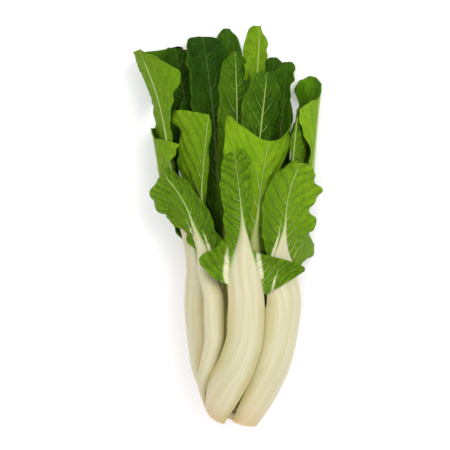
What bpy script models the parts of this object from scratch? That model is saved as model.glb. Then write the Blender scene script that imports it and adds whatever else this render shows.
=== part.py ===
"""A head of bok choy, lying on a table.

Every size below is in millimetres or degrees, and a vertex is made in metres. +Y runs from the cut
butt to the leaf tips, +Z is up, and the head rests on the plane Z = 0, with its middle at the origin.

The leaves sit one inside another, like the skins of an onion. A place in the head is given by its
bearing round the head's long axis (0 is +X, 90 is up), its radius from that axis and its Y. A leaf of
a larger radius lies outside its neighbours, so no two leaves cross.
"""

import math
from dataclasses import dataclass

import bmesh
import bpy
import numpy as np

MM = 0.001

# The head's long axis, and the height over width of its section above the axis and below it, by Y.
AXIS_X = [(-170, 6.6), (-140, 11.2), (-105, 13.4), (-65, 14.6), (-20, 13), (20, 9), (100, 6), (175, 0)]
AXIS_Z = [(-170, 38), (-120, 40.6), (-65, 40.8), (-20, 38.2), (60, 33), (175, 27.5)]
RISE = [(-170, 0.92), (-65, 0.83), (0, 0.78), (60, 0.7), (175, 0.62)]
SINK = [(-170, 0.95), (-65, 0.86), (-20, 0.84), (60, 0.52), (175, 0.38)]
SIDE_BLEND = 0.5  # how far round the sides the upper section turns into the lower one
MIDDLE_OF_BOX = 1.77, 1.39  # the X and Y of the outline's middle, which is moved to the origin

# The stalks turn round the axis from the belly to the butt: the share of the turn by Y.
TURN = [(-168, 1), (-138, 0.44), (-117, 0.14), (-91, 0)]


@dataclass
class Whorl:
    """A ring of leaves: where its stalks start, and their inner radius and thickness by Y."""

    start: float
    radius: list
    thickness: list
    columns: int  # of points across each stalk


OUTER = Whorl(
    -168,
    [(-168, 18.5), (-156, 23.6), (-138, 29.8), (-117, 35.7), (-91, 40), (-65, 42.3), (-20, 42)],
    [(-168, 5), (-138, 7), (-117, 8), (-65, 8), (-20, 5)],
    7,
)
MIDDLE = Whorl(
    -156,
    [(-156, 8.5), (-138, 18), (-117, 25), (-91, 29), (-65, 30.6), (-20, 30.6)],
    [(-156, 4), (-117, 5), (-65, 5.5), (-20, 3.5)],
    5,
)
INNER = Whorl(
    -146,
    [(-146, 3.5), (-117, 14), (-65, 19.7), (-20, 19.7)],
    [(-146, 3), (-117, 4), (-65, 4.5), (-20, 3)],
    5,
)


# A side of a blade: its half width as a share of its greatest, by the share of the blade's length.
OVAL = [
    (0, 0.05), (0.12, 0.4), (0.3, 0.76), (0.5, 0.97), (0.62, 1), (0.82, 0.86), (0.94, 0.58),
    (1, 0.12),
]
FAN = [(0, 0.05), (0.15, 0.3), (0.4, 0.68), (0.62, 0.93), (0.8, 1), (0.92, 0.88), (0.98, 0.6), (1, 0.2)]
ROUND = [
    (0, 0.05), (0.12, 0.14), (0.22, 0.28), (0.34, 0.42), (0.46, 0.58), (0.6, 0.88), (0.75, 1), (0.88, 0.88),
    (0.96, 0.55), (1, 0.15),
]
WING = [(0, 0.05), (0.15, 0.35), (0.4, 0.72), (0.7, 0.95), (0.9, 1), (0.98, 0.88), (1, 0.6)]
FLAP = [
    (0, 0.05), (0.3, 0.36), (0.44, 0.62), (0.6, 0.76), (0.75, 0.78), (0.9, 0.9), (0.97, 0.95),
    (1, 0.6),
]
NEAR = [
    (0, 0.05), (0.5, 0.15), (0.7, 0.28), (0.78, 0.6), (0.85, 0.94), (0.89, 1), (0.93, 0.7),
    (1, 0.05),
]
NEAR_LOW = [
    (0, 0.05), (0.3, 0.2), (0.5, 0.36), (0.66, 0.5), (0.74, 0.8), (0.8, 0.98), (0.84, 1), (0.89, 0.66),
    (0.93, 0.2), (1, 0.04),
]
NEAR_FLAT = [
    (0, 0.05), (0.3, 0.2), (0.6, 0.5), (0.8, 0.92), (0.88, 1), (0.91, 0.6), (0.93, 0.1), (1, 0.04),
]
FAR = [
    (0, 0.05), (0.3, 0.2), (0.5, 0.3), (0.68, 0.35), (0.78, 0.5), (0.88, 0.8), (0.94, 0.92), (0.985, 1),
    (1, 0.95),
]
LOBE = [
    (0, 0.4), (0.04, 0.72), (0.09, 0.95), (0.15, 1), (0.2, 0.84), (0.25, 0.46), (0.3, 0.16), (0.42, 0.06),
    (0.55, 0.14), (0.7, 0.22), (0.9, 0.24), (0.97, 0.18), (1, 0.08),
]
LOBED = [
    (0, 0.05), (0.05, 0.4), (0.1, 0.85), (0.16, 1), (0.22, 0.92), (0.3, 0.66), (0.4, 0.5), (0.62, 0.5),
    (0.9, 0.42), (0.97, 0.3), (1, 0.1),
]
EARED = [
    (0, 0.05), (0.05, 0.2), (0.11, 0.45), (0.17, 0.75), (0.24, 0.97), (0.29, 1), (0.34, 0.84), (0.4, 0.62),
    (0.47, 0.53), (0.6, 0.52), (0.7, 0.49), (0.79, 0.47), (0.88, 0.42), (0.96, 0.32), (1, 0.12),
]
BROAD = [(0, 0.3), (0.1, 0.7), (0.25, 1), (0.5, 0.9), (0.75, 0.72), (0.93, 0.5), (1, 0.1)]


@dataclass
class Leaf:
    """One leaf. A pair is for its side towards greater bearings, then for its side towards lesser ones."""

    name: str
    whorl: Whorl
    lift: float  # how far it stands outside its whorl's radius
    spread: tuple  # half the angle its stalk takes round the head, at the butt and at the belly
    bearing: tuple  # at the butt, at the belly, at the neck, halfway up the blade and at the tip
    ends: tuple  # the Y of its neck and of its tip
    radius: tuple  # halfway up the blade and at the tip
    half: tuple  # the blade's greatest half width on each side
    outline: tuple  # the blade's outline on each side
    lean: tuple  # how far each margin leans outwards
    late: float = 0.0  # where along the blade the lean begins
    hang: tuple = (3, 3)  # how far the lowest part of each side hangs back
    reach: tuple = (0, 0)  # how far the top of each side reaches past the tip
    wave: float = 0.5  # the share of the lean that comes and goes along the margin
    waves: float = 4.0
    phase: float = 0.0
    curl: float = 4.0  # how far the tip bends outwards


LEAVES = [
    Leaf(
        "front_centre", OUTER, lift=3.3, spread=(38, 19.2), bearing=(142, 86, 88, 86, 90),
        ends=(-42, 60), radius=(53, 62), half=(28, 44), outline=(LOBED, LOBE), lean=(24, 24),
        late=-1.6, hang=(-6, -3), wave=0.15, waves=3, phase=0.3, curl=4,
    ),
    Leaf(
        "front_right", OUTER, lift=0, spread=(47, 37), bearing=(52, 29, 38, 42, 37), ends=(-38, 52),
        radius=(54, 63), half=(21, 47), outline=(OVAL, EARED), lean=(-2, 46), late=-1, hang=(4, 5),
        wave=0.15, waves=3, phase=1.1, curl=6,
    ),
    Leaf(
        "front_left", OUTER, lift=0, spread=(4.6, 13), bearing=(201, 124, 135, 134, 147),
        ends=(-34, 44), radius=(55, 66), half=(34, 20), outline=(ROUND, BROAD), lean=(6, -2),
        late=-1.5, hang=(2, 6), wave=0.3, waves=3, phase=3.6, curl=6,
    ),
    Leaf(
        "left", OUTER, lift=-3.3, spread=(19.5, 30), bearing=(229, 172, 172, 154, 157),
        ends=(-42, 150), radius=(60, 70), half=(73, 24), outline=(FAR, NEAR), lean=(8, -2),
        late=0.45, hang=(3, 3), reach=(14, 0), wave=0.3, waves=4, phase=2.0, curl=12,
    ),
    Leaf(
        "low_left", OUTER, lift=0, spread=(14, 18.5), bearing=(268, 222, 212, 170, 170),
        ends=(-35, 83), radius=(61.8, 68.2), half=(44, 26), outline=(WING, NEAR_FLAT), lean=(2, 0),
        late=0, hang=(4, 4), reach=(12, 0), wave=0.5, waves=4, phase=2.9, curl=2,
    ),
    Leaf(
        "back_left", OUTER, lift=-3.3, spread=(13.6, 17), bearing=(297, 260, 248, 233, 229),
        ends=(-25, 158), radius=(60, 69), half=(34, 20), outline=(FAN, FAN), lean=(-1, -1), late=0,
        hang=(2, 2), wave=0.5, waves=4, phase=0.0, curl=2,
    ),
    Leaf(
        "back_right", OUTER, lift=0, spread=(13, 16.2), bearing=(323, 294, 298, 303, 306),
        ends=(-25, 150), radius=(60, 68), half=(20, 32), outline=(OVAL, OVAL), lean=(1, 1), late=0,
        hang=(2, 2), wave=0.5, waves=4, phase=1.6, curl=2,
    ),
    Leaf(
        "right", OUTER, lift=-3.3, spread=(12.5, 20.5), bearing=(350, 332, 342, 362, 370),
        ends=(-30, 122), radius=(66.5, 75), half=(23, 37), outline=(NEAR_LOW, WING), lean=(-3, 3),
        late=0.45, hang=(4, 4), reach=(4, 15), wave=0.4, waves=4, phase=2.2, curl=4,
    ),
    Leaf(
        "second_front", MIDDLE, lift=-3, spread=(27, 27), bearing=(118, 78, 71, 65, 60),
        ends=(-35, 70), radius=(45, 54), half=(31, 25), outline=(WING, WING), lean=(4, 1), late=0.3,
        hang=(2, 2), reach=(27, 24), wave=0.5, waves=4, phase=0.8, curl=5,
    ),
    Leaf(
        "second_left", MIDDLE, lift=0, spread=(27, 27), bearing=(178, 138, 143, 126, 110),
        ends=(-35, 92), radius=(47, 54), half=(36, 4), outline=(FLAP, OVAL), lean=(2, -1), late=0,
        hang=(2, 2), wave=0.5, waves=4, phase=1.9, curl=4,
    ),
    Leaf(
        "second_low_left", MIDDLE, lift=-3, spread=(27, 27), bearing=(238, 198, 204, 225, 236),
        ends=(-35, 112), radius=(39, 44), half=(26, 26), outline=(FAN, FAN), lean=(-2, 1), late=0,
        hang=(2, 2), wave=0.5, waves=4, phase=3.6, curl=4,
    ),
    Leaf(
        "second_back", MIDDLE, lift=-0.5, spread=(27, 27), bearing=(298, 258, 262, 268, 272),
        ends=(-35, 176), radius=(49, 57), half=(17, 20), outline=(OVAL, OVAL), lean=(-1, 1), late=0,
        hang=(2, 2), wave=0.5, waves=4, phase=0.9, curl=3,
    ),
    Leaf(
        "second_back_right", MIDDLE, lift=-3, spread=(27, 27), bearing=(358, 318, 322, 330, 334),
        ends=(-35, 144), radius=(44, 56), half=(12, 12), outline=(FAN, FAN), lean=(1, 1), late=0,
        hang=(2, 2), wave=0.5, waves=4, phase=1.4, curl=2,
    ),
    Leaf(
        "second_low_right", MIDDLE, lift=0, spread=(27, 27), bearing=(418, 378, 384, 393, 396),
        ends=(-35, 98), radius=(55, 66), half=(3, 38), outline=(OVAL, OVAL), lean=(0, 7), late=0.35,
        hang=(2, 2), wave=0.12, waves=4, phase=2.7, curl=2,
    ),
    Leaf(
        "heart_front", INNER, lift=0, spread=(38, 38), bearing=(100, 60, 58, 52, 50),
        ends=(-30, 130), radius=(31, 46), half=(17, 26), outline=(FAN, OVAL), lean=(0, 0), late=0,
        hang=(0, 0), wave=0.5, waves=4, phase=2.5, curl=3,
    ),
    Leaf(
        "heart_left", INNER, lift=-3, spread=(38, 38), bearing=(190, 150, 130, 84, 80),
        ends=(-30, 148), radius=(25, 32), half=(17, 18), outline=(OVAL, OVAL), lean=(0, 0), late=0,
        hang=(0, 0), wave=0.5, waves=4, phase=1.5, curl=3,
    ),
    Leaf(
        "heart_back", INNER, lift=0, spread=(38, 38), bearing=(280, 240, 240, 240, 240),
        ends=(-30, 167), radius=(31, 38), half=(24, 24), outline=(FAN, FAN), lean=(0, 0), late=0,
        hang=(0, 0), wave=0.5, waves=4, phase=2.5, curl=3,
    ),
    Leaf(
        "heart_right", INNER, lift=-3, spread=(38, 38), bearing=(370, 330, 335, 372, 412),
        ends=(-30, 170), radius=(19, 28), half=(10, 10), outline=(FAN, OVAL), lean=(0, 0), late=0,
        hang=(0, 0), wave=0.5, waves=4, phase=0.5, curl=18,
    ),
]

# The blade: a thin sheet on the inner side of the stalk, which runs up its back as the midrib.
BLADE_THICKNESS = 0.8
BLADE_FOOT, BLADE_TIP = 0.86, 1.994  # along the leaf: 0 is the butt, 1 the neck and 2 the tip
STALK_GAP = 0.6  # between the blade's back and the stalk
STALK_EDGE = 0.9
FULL_FROM = 6.0  # the half width below which a stalk's butt is thinner too
THINNEST = 0.3  # the share of its thickness that the narrowest butt keeps
SLIMMING = [(0, 0.93), (0.24, 1.005), (0.6, 1), (1, 0.86)]  # the stalk's width near its ends
TAPER = 1.0, 1.62  # where the stalk starts to narrow, and where it has become the midrib
RIB_HALF = 1.3
RIB_THICKNESS = 0.8

STALK_ROWS = 6
BLADE_ROWS = 14
BLADE_COLUMNS = 9

# The butt is cut askew: the cut rises towards -X, by this share of the squared distance from CUT_FROM.
CUT_RISE = 0.0075
CUT_FROM = 16
CUT_FADE = 0.3  # how far along the leaf the stalk's rows are squeezed by the cut

# The cut stem inside the stalks, as (radius, Y).
CROWN_PROFILE = [
    (0, -168), (18.7, -168), (18.5, -165), (17, -161.5),
    (7, -159.8), (6.6, -156.5), (8.2, -152), (8.5, -148.6), (0, -148.4),
]
CROWN_SIDES = 20
CROWN_SHOULDER = -160  # the cut's slant is in full at the butt and has gone by this Y
CROWN_FLARE = 0.7  # the share of the stalks' parting that the stem follows where the cut rises


def smooth_through(stations, at):
    """The smooth curve through (place, value) stations, which never overshoots, read at the places at."""
    places, values = np.array(stations, float).T
    steps = np.diff(places)
    slopes = np.diff(values) / steps
    before, after = slopes[:-1], slopes[1:]
    same_way = before * after > 0
    mean = 2 * before * after / np.where(same_way, before + after, 1)
    tangents = np.concatenate([slopes[:1], np.where(same_way, mean, 0), slopes[-1:]])
    at = np.clip(at, places[0], places[-1])
    k = np.clip(np.searchsorted(places, at) - 1, 0, len(steps) - 1)
    h, r = steps[k], (at - places[k]) / steps[k]
    return (
        (1 + 2 * r) * (1 - r) ** 2 * values[k]
        + r * (1 - r) ** 2 * h * tangents[k]
        + r * r * (3 - 2 * r) * values[k + 1]
        + r * r * (r - 1) * h * tangents[k + 1]
    )


def flatten(bearing, y):
    """The height over width of the head's section at a bearing in degrees."""
    side = 0.5 + 0.5 * np.tanh(np.sin(np.radians(bearing)) / SIDE_BLEND)
    low = smooth_through(SINK, y)
    return low + (smooth_through(RISE, y) - low) * side


def in_head(bearing, radius, y):
    """The X, Y and Z of a place in the head."""
    angle = np.radians(bearing)
    x = smooth_through(AXIS_X, y) + radius * np.cos(angle)
    z = smooth_through(AXIS_Z, y) + radius * np.sin(angle) * flatten(bearing, y)
    return np.stack([x - MIDDLE_OF_BOX[0], y - MIDDLE_OF_BOX[1], z], axis=-1)


def leaf_stations(leaf):
    """A leaf's Y, bearing and inner radius along it: 0 is the butt, 1 the neck and 2 the tip."""
    start = leaf.whorl.start
    neck_y, tip_y = leaf.ends
    butt, belly, neck, middle, tip = leaf.bearing
    ys = [y for y, _ in leaf.whorl.radius if y < neck_y - 10] + [neck_y]
    along = [(y - start) / (neck_y - start) for y in ys]
    ys = np.array(ys, float)
    bearing = smooth_through([(start, belly), (-65, belly), (neck_y, neck)], ys)
    bearing = bearing + (butt - belly) * smooth_through(TURN, ys)
    at_start = 0.6 if leaf.lift > 0 else 0.15  # the foremost stalk stands out from its butt on
    lift = leaf.lift * smooth_through([(start, at_start), (start + 35, 1)], ys)
    radius = smooth_through(leaf.whorl.radius, ys) + lift
    return (
        [*zip(along, ys), (1.5, 0.5 * (neck_y + tip_y)), (2, tip_y)],
        [*zip(along, bearing), (1.5, middle), (2, tip)],
        [*zip(along, radius), (1.5, leaf.radius[0]), (2, leaf.radius[1])],
    )


def arc_per_radian(leaf, s):
    """The distance round the head for a radian, at the leaf's middle line and s along it."""
    y_at, bearing_at, radius_at = leaf_stations(leaf)
    bearing = smooth_through(bearing_at, s)
    angle = np.radians(bearing)
    section = flatten(bearing, smooth_through(y_at, s))
    return smooth_through(radius_at, s) * np.hypot(np.sin(angle), np.cos(angle) * section)


def blade_half(leaf, s, side):
    """The blade's half width along the leaf, on the anticlockwise side (+1) or the clockwise side (-1)."""
    t = np.clip((s - BLADE_FOOT) / (2 - BLADE_FOOT), 0, 1)
    widths = [half * smooth_through(outline, t) for half, outline in zip(leaf.half, leaf.outline)]
    lobes = 1 + 0.03 * np.sin(1.3 * 2 * math.pi * leaf.waves * t + 1.7 * leaf.phase + side)
    return np.where(side > 0, *widths) * lobes


def stalk_half(leaf, s):
    """The stalk's half width along the leaf, and the midrib's past the neck."""
    at_butt, at_belly = leaf.spread
    y = leaf.whorl.start + (leaf.ends[0] - leaf.whorl.start) * np.clip(s, 0, 1)
    spread = at_belly + (at_butt - at_belly) * smooth_through(TURN, y)
    full = np.radians(spread) * arc_per_radian(leaf, np.minimum(s, 1))
    full = full * smooth_through(SLIMMING, s)
    t = np.clip((s - TAPER[0]) / (TAPER[1] - TAPER[0]), 0, 1)
    return RIB_HALF + (full - RIB_HALF) * (1 - t) ** 1.7


def stalk_thickness(leaf, s, u):
    """How thick the stalk is, u of its half width away from its middle line: a crescent."""
    start = leaf.whorl.start
    y = start + (leaf.ends[0] - start) * np.clip(s, 0, 1)
    t = np.clip((s - 0.95) / (TAPER[1] - 0.95), 0, 1)
    fullness = np.clip(stalk_half(leaf, np.minimum(s, 0.5)) / FULL_FROM, THINNEST, 1)
    full = smooth_through(leaf.whorl.thickness, y) * fullness
    middle = RIB_THICKNESS + (full - RIB_THICKNESS) * (1 - t) ** 1.2
    edge = STALK_EDGE + (RIB_THICKNESS / 2 - STALK_EDGE) * t
    return edge + middle * np.clip(1 - u * u, 0, 1)


def cut_rise(across_x):
    """How far the cut face has risen at a distance towards +X from the head's axis."""
    return CUT_RISE * np.minimum(across_x - CUT_FROM, 0) ** 2


def past_the_cut(leaf, s, w):
    """s moved along the leaf, so that the stalk starts at the cut."""
    if leaf.whorl is not OUTER:
        return s
    radius = OUTER.radius[0][1] + 4
    bearing = np.radians(leaf.bearing[0]) + w / radius
    rise = cut_rise(radius * np.cos(bearing)) / (leaf.ends[0] - OUTER.start)
    return s + rise * np.clip(1 - s / CUT_FADE, 0, 1)


def leaf_place(leaf, s, w):
    """The X, Y and Z of a leaf's inner face, s along it and w across it."""
    s = past_the_cut(leaf, s, w)
    y_at, bearing_at, radius_at = leaf_stations(leaf)
    y, bearing, radius = (smooth_through(v, s) for v in (y_at, bearing_at, radius_at))
    step = 0.01
    rise = smooth_through(y_at, s + step) - smooth_through(y_at, s - step)
    arc = arc_per_radian(leaf, s)
    turn = arc * np.radians(smooth_through(bearing_at, s + step) - smooth_through(bearing_at, s - step))
    length = np.hypot(rise, turn)
    bearing = bearing + np.degrees(w * rise / length / arc)
    y = y - w * turn / length
    side = np.sign(w)
    t = np.clip(s - 1, 0, 1)
    across = np.abs(w) / np.where(side > 0, *leaf.half)
    at_margin = np.clip(np.abs(w) / np.maximum(blade_half(leaf, s, side), 1), 0, 1.2)
    ripple = np.sin(2 * math.pi * leaf.waves * t + leaf.phase + side)
    r = np.clip((s - 1 - leaf.late) / (1 - leaf.late), 0, 1)
    lean = np.where(side > 0, *leaf.lean) * r * r * (3 - 2 * r) * across**1.7
    radius = radius + lean * (1 + leaf.wave * ripple * at_margin)
    radius = radius + 2 * t**1.5 * at_margin**3 * ripple
    radius = radius + leaf.curl * np.clip((t - 0.6) / 0.4, 0, 1) ** 2
    y = y + across**2 * (np.where(side > 0, *leaf.reach) * t * t - np.where(side > 0, *leaf.hang) * (1 - t))
    return in_head(bearing, radius, y)


def outwards(leaf, s, w):
    """The leaf's outward unit normal."""
    step_s, step_w = 0.004, 0.25
    along = leaf_place(leaf, s + step_s, w) - leaf_place(leaf, s - step_s, w)
    across = leaf_place(leaf, s, w + step_w) - leaf_place(leaf, s, w - step_w)
    normal = np.cross(along, across)
    return normal / np.linalg.norm(normal, axis=-1, keepdims=True)


def across_leaf(half, rib, columns):
    """Places across a leaf: a third of the columns on the rib, and the rest on the blade beside it."""
    c = np.linspace(-1, 1, columns)
    on_rib = 0.25
    beside = (np.abs(c) - on_rib) / (1 - on_rib)
    return np.where(np.abs(c) <= on_rib, c / on_rib * rib, np.sign(c) * (rib + (half - rib) * beside))


def add_shell(name, inner, outer, material):
    """A closed shell between two grids of points, both split into the same triangles."""
    rows, columns = inner.shape[:2]
    bm = bmesh.new()
    bmesh.ops.create_grid(bm, x_segments=columns - 1, y_segments=rows - 1, size=0.5)
    bm.verts.ensure_lookup_table()
    order = sorted(bm.verts, key=lambda v: (round(v.co.y, 5), round(v.co.x, 5)))
    twins = {v: outer.reshape(-1, 3)[i] for i, v in enumerate(order)}
    for v, place in zip(order, inner.reshape(-1, 3)):
        v.co = place * MM
    bmesh.ops.triangulate(bm, faces=bm.faces[:])
    lower = list(order)
    made = bmesh.ops.extrude_face_region(bm, geom=bm.faces[:], use_keep_orig=True)
    upper = [g for g in made["geom"] if isinstance(g, bmesh.types.BMVert)]
    near = {tuple(v.co): twins[v] for v in lower}
    for v in upper:
        v.co = near[tuple(v.co)] * MM
        v.co.z = max(v.co.z, 0)
    for v in lower:
        v.co.z = max(v.co.z, BLADE_THICKNESS * MM)
    bmesh.ops.recalc_face_normals(bm, faces=bm.faces[:])
    return add_mesh(name, bm, material)


def add_mesh(name, bm, material):
    mesh = bpy.data.meshes.new(name)
    bm.to_mesh(mesh)
    bm.free()
    mesh.shade_smooth()
    mesh.set_sharp_from_angle(angle=math.radians(50))
    mesh.materials.append(material)
    obj = bpy.data.objects.new(name, mesh)
    bpy.context.scene.collection.objects.link(obj)
    return obj


def blade_rows():
    """The places of the blade's rows along the leaf, closer at its ends."""
    t = np.linspace(0, 1, BLADE_ROWS)
    t = 0.5 * t + 0.5 * (0.5 - 0.5 * np.cos(math.pi * t))
    return BLADE_FOOT + (BLADE_TIP - BLADE_FOOT) * t


def add_blade(leaf, material):
    """The green sheet of a leaf."""
    along = blade_rows()
    rows = []
    for s in along:
        sides = np.sign(np.linspace(-1, 1, BLADE_COLUMNS))
        half = blade_half(leaf, s, sides)
        rib = np.minimum(stalk_half(leaf, s) * 0.6, half * 0.35)
        rows.append(across_leaf(half, rib, BLADE_COLUMNS))
    w = np.array(rows)
    s = np.repeat(along[:, None], BLADE_COLUMNS, axis=1)
    inner = leaf_place(leaf, s, w)
    outer = inner + outwards(leaf, s, w) * BLADE_THICKNESS
    return add_shell("blade_" + leaf.name, inner, outer, material)


def add_stalk(leaf, material):
    """The white stalk of a leaf, which runs on as its midrib."""
    shared = blade_rows()
    shared = shared[shared < TAPER[1]]
    along = np.concatenate([np.linspace(0, BLADE_FOOT, STALK_ROWS + 1)[:-1], shared, [TAPER[1]]])
    s, c = np.meshgrid(along, np.linspace(-1, 1, leaf.whorl.columns), indexing="ij")
    u = np.sin(c * math.pi / 2)
    w = u * stalk_half(leaf, s)
    face, normal = leaf_place(leaf, s, w), outwards(leaf, s, w)
    inner = face + normal * (BLADE_THICKNESS + STALK_GAP)
    outer = inner + normal * stalk_thickness(leaf, s, u)[..., None]
    return add_shell("stalk_" + leaf.name, inner, outer, material)


def add_crown(material):
    """The short stem that the stalks grow from, cut askew at its foot."""
    turn = np.linspace(0, 360, CROWN_SIDES, endpoint=False)
    bm = bmesh.new()
    rings = []
    for radius, y in CROWN_PROFILE:
        rise = cut_rise(radius * np.cos(np.radians(turn))) * max(0, (CROWN_SHOULDER - y) / 8)
        if radius == 0:
            rings.append([bm.verts.new(in_head(0.0, 0.0, y + rise[0]) * MM)])
            continue
        level = np.full(CROWN_SIDES, float(y))
        wider = smooth_through(OUTER.radius, y + rise) - smooth_through(OUTER.radius, level)
        rings.append([bm.verts.new(p * MM) for p in in_head(turn, radius + CROWN_FLARE * wider, y + rise)])
    for low, high in zip(rings, rings[1:]):
        for i in range(CROWN_SIDES):
            j = (i + 1) % CROWN_SIDES
            corners = [low[i % len(low)], low[j % len(low)], high[j % len(high)], high[i % len(high)]]
            bm.faces.new(list(dict.fromkeys(corners)))
    bmesh.ops.triangulate(bm, faces=bm.faces[:])
    bmesh.ops.recalc_face_normals(bm, faces=bm.faces[:])
    return add_mesh("crown", bm, material)


def add_material(name, colour, roughness):
    material = bpy.data.materials.new(name)
    material.use_nodes = True
    shader = material.node_tree.nodes["Principled BSDF"]
    shader.inputs["Base Color"].default_value = (*colour, 1)
    shader.inputs["Roughness"].default_value = roughness
    shader.inputs["Metallic"].default_value = 0
    return material


def main():
    for obj in list(bpy.data.objects):
        bpy.data.objects.remove(obj)
    green = add_material("leaf_green", (0.11, 0.26, 0.02), 0.45)
    white = add_material("stalk_white", (0.74, 0.71, 0.5), 0.4)
    cut = add_material("cut_stem", (0.66, 0.58, 0.36), 0.6)
    add_crown(cut)
    for leaf in LEAVES:
        add_stalk(leaf, white)
        add_blade(leaf, green)


main()
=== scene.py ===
import math
from dataclasses import dataclass

import bmesh
import bpy
import numpy as np
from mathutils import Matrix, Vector


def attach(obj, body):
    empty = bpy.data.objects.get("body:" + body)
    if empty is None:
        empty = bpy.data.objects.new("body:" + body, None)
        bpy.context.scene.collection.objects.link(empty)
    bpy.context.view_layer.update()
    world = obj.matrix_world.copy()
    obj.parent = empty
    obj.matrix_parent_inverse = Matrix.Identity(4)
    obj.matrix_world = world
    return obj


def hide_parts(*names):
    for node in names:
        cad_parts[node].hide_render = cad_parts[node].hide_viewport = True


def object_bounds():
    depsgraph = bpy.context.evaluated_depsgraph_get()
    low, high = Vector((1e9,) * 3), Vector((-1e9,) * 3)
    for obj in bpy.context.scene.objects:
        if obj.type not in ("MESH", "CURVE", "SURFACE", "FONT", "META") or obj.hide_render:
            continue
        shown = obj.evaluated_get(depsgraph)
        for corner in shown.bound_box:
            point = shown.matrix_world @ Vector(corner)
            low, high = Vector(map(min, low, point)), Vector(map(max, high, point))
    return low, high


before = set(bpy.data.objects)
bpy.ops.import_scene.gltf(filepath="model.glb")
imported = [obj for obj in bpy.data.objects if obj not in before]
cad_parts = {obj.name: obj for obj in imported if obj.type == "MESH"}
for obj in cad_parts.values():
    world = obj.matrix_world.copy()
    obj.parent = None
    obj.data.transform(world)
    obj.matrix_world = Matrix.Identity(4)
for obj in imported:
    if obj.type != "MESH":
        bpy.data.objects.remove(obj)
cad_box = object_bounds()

# The table top
# A plain, matt, nearly white surface, wider than the camera sees, with the head's underside on it.
# It is bare: nothing else lies on it.
TABLE_SIZE = 6.0
TABLE_COLOUR = 250, 249, 250
TABLE_SPECKLE = 252, 251, 251
SPECKLE_SCALE = 60


def linear(red, green, blue):
    """A colour from screen values of 0 to 255, as a shader takes it."""
    parts = [c / 255 for c in (red, green, blue)]
    return (*[c / 12.92 if c <= 0.04045 else ((c + 0.055) / 1.055) ** 2.4 for c in parts], 1)


class Value:
    """A number in a material. Arithmetic on it adds Math nodes."""

    def __init__(self, finish, socket):
        self.finish = finish
        self.socket = socket

    def math(self, operation, *others):
        inputs = dict(enumerate([self, *others]))
        return self.finish.node("ShaderNodeMath", {"operation": operation}, inputs)

    def at_least(self, other):
        return self.math("MAXIMUM", other)

    def at_most(self, other):
        return self.math("MINIMUM", other)

    def __add__(self, other):
        return self.math("ADD", other)

    def __mul__(self, other):
        return self.math("MULTIPLY", other)

    def __sub__(self, other):
        return self.math("SUBTRACT", other)

    def __rsub__(self, other):
        return self.finish.node("ShaderNodeMath", {"operation": "SUBTRACT"}, {0: other, 1: self})

    def __pow__(self, other):
        return self.math("POWER", other)

    def __abs__(self):
        return self.math("ABSOLUTE")

    __radd__ = __add__
    __rmul__ = __mul__


class Finish:
    """A material, and the nodes that vary it over the surface."""

    def __init__(self, name, **fixed):
        self.material = bpy.data.materials.new(name)
        self.material.use_nodes = True
        self.nodes = self.material.node_tree.nodes
        self.shader = self.nodes["Principled BSDF"]
        for socket, value in fixed.items():
            self.set(socket.replace("_", " "), value)

    def node(self, kind, settings=None, inputs=None, output=0):
        made = self.nodes.new(kind)
        for key, value in (settings or {}).items():
            setattr(made, key, value)
        for key, value in (inputs or {}).items():
            self.feed(made.inputs[key], value)
        return Value(self, made.outputs[output])

    def feed(self, socket, value):
        if isinstance(value, Value):
            self.material.node_tree.links.new(value.socket, socket)
        else:
            socket.default_value = value

    def set(self, socket, value):
        self.feed(self.shader.inputs[socket], value)

    def mix(self, share, low, high):
        """The colour low where share is 0, and high where it is 1."""
        return self.node("ShaderNodeMix", {"data_type": "RGBA"}, {0: share, 6: low, 7: high}, 2)

    def tint(self, base, cover, colour, most):
        """The colour over a base: none of it where cover is 0, and the share most where cover is 1."""
        return self.mix(cover * most, base, colour)

    def step(self, value, low, high):
        """0 below low, 1 above high, and smooth between them."""
        inputs = {"Value": value, "From Min": low, "From Max": high}
        return self.node("ShaderNodeMapRange", {"interpolation_type": "SMOOTHSTEP"}, inputs)

    def metres(self):
        """The place on the piece itself."""
        return self.node("ShaderNodeTexCoord", output="Object")

    def parts(self, attribute):
        """The three numbers of a mesh's own attribute."""
        vector = self.node("ShaderNodeAttribute", {"attribute_name": attribute}, output="Vector")
        return [self.node("ShaderNodeSeparateXYZ", {}, {0: vector}, axis) for axis in range(3)]

    def noise(self, vector, scale, detail=2.0):
        return self.node("ShaderNodeTexNoise", {}, {"Vector": vector, "Scale": scale, "Detail": detail})

    def stretched(self, vector, across, along):
        """A place on a leaf with its two directions scaled apart."""
        return self.node("ShaderNodeMapping", {}, {"Vector": vector, "Scale": (across, along, 1)})

    def bump(self, height, distance):
        relief = self.node("ShaderNodeBump", {}, {"Height": height, "Distance": distance})
        self.set("Normal", relief)


def add_piece(name, bm, finish):
    mesh = bpy.data.meshes.new(name)
    bm.to_mesh(mesh)
    bm.free()
    mesh.materials.append(finish.material)
    piece = bpy.data.objects.new(name, mesh)
    bpy.context.scene.collection.objects.link(piece)
    return piece


table_finish = Finish("table_top", Roughness=0.7)
speckle = table_finish.noise(table_finish.metres(), SPECKLE_SCALE)
table_colour = table_finish.mix(speckle, linear(*TABLE_COLOUR), linear(*TABLE_SPECKLE))
table_finish.set("Base Color", table_colour)
bm = bmesh.new()
bmesh.ops.create_grid(bm, x_segments=1, y_segments=1, size=TABLE_SIZE / 2)
add_piece("table_top", bm, table_finish)

# The cut stem
# The short stem in the middle of the butt, which all the leaves grow from. It was cut across with a
# knife, a little askew, so it shows pale flesh with a paler ring near its rim.
MM = 0.001

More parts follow.
